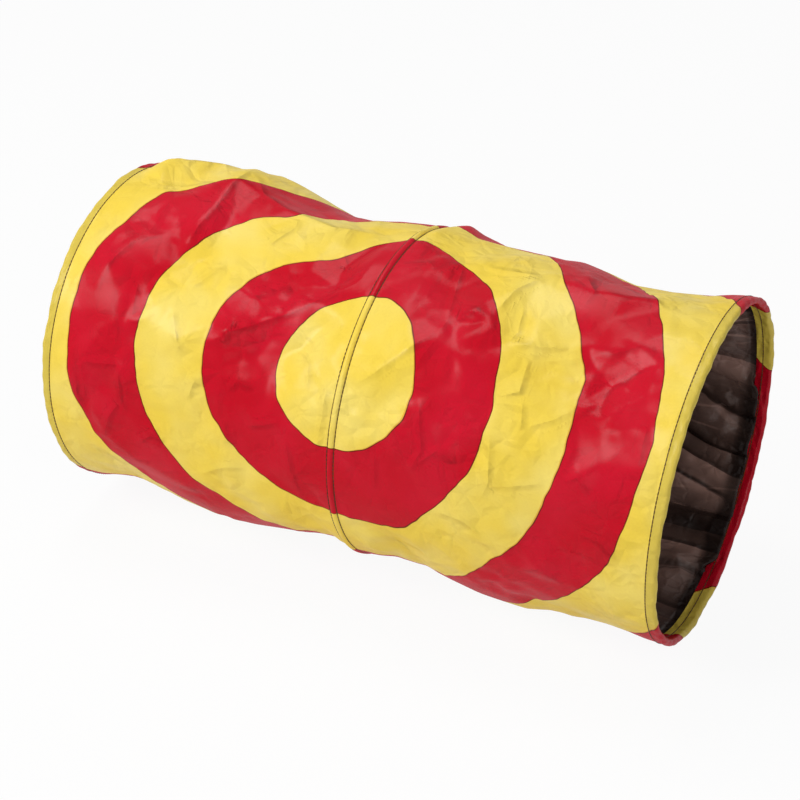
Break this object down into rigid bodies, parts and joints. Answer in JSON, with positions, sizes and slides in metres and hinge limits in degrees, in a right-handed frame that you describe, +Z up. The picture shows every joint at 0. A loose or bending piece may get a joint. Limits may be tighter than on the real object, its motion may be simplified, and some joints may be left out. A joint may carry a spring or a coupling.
{
  "type": "cat tunnel",
  "caption": "Round cloth cat tunnel held open by sprung wire hoops, with a ring-printed cover, a crinkle film and a dark lining; it folds flat along its length.",
  "frame": {"origin": "middle of the tunnel's length and width, on the floor under the middle hoop", "axes": "+X along the tunnel towards the end that the picture looks into, -Y towards the camera's side, +Z up"},
  "size_m": [0.48, 0.2499, 0.2605],
  "materials": {
    "spring_wire": "drawn spring steel wire, bare",
    "crimped_tube": "plated steel tube, crimped",
    "printed_cloth_red": "thin woven polyester, printed red, slight sheen",
    "printed_cloth_yellow": "thin woven polyester, printed yellow, slight sheen",
    "crinkle_film": "thin rustling plastic film",
    "dark_lining": "dark brown taffeta, crumpled, satin sheen"
  },
  "bodies": {
    "middle": {"middle_hoop": "spring_wire", "middle_hoop_sleeve": "crimped_tube", "middle_band": "printed_cloth_red", "middle_lining_band": "dark_lining", "cover_left": "printed_cloth_red", "cover_right": "printed_cloth_red", "crinkle_film_left": "crinkle_film", "crinkle_film_right": "crinkle_film", "lining_left": "dark_lining", "lining_right": "dark_lining"},
    "left_end": {"left_hoop": "spring_wire", "left_hoop_sleeve": "crimped_tube", "left_hem": "printed_cloth_yellow"},
    "right_end": {"right_hoop": "spring_wire", "right_hoop_sleeve": "crimped_tube", "right_hem": "printed_cloth_yellow"}
  },
  "joints": [
    {"name": "left_end_fold", "type": "slide", "parent": "middle", "child": "left_end", "axis": [1, 0, 0], "range_m": [0, 0.212], "deforming": ["cover_left", "crinkle_film_left", "lining_left"]},
    {"name": "right_end_fold", "type": "slide", "parent": "middle", "child": "right_end", "axis": [-1, 0, 0], "range_m": [0, 0.212], "deforming": ["cover_right", "crinkle_film_right", "lining_right"]}
  ]
}
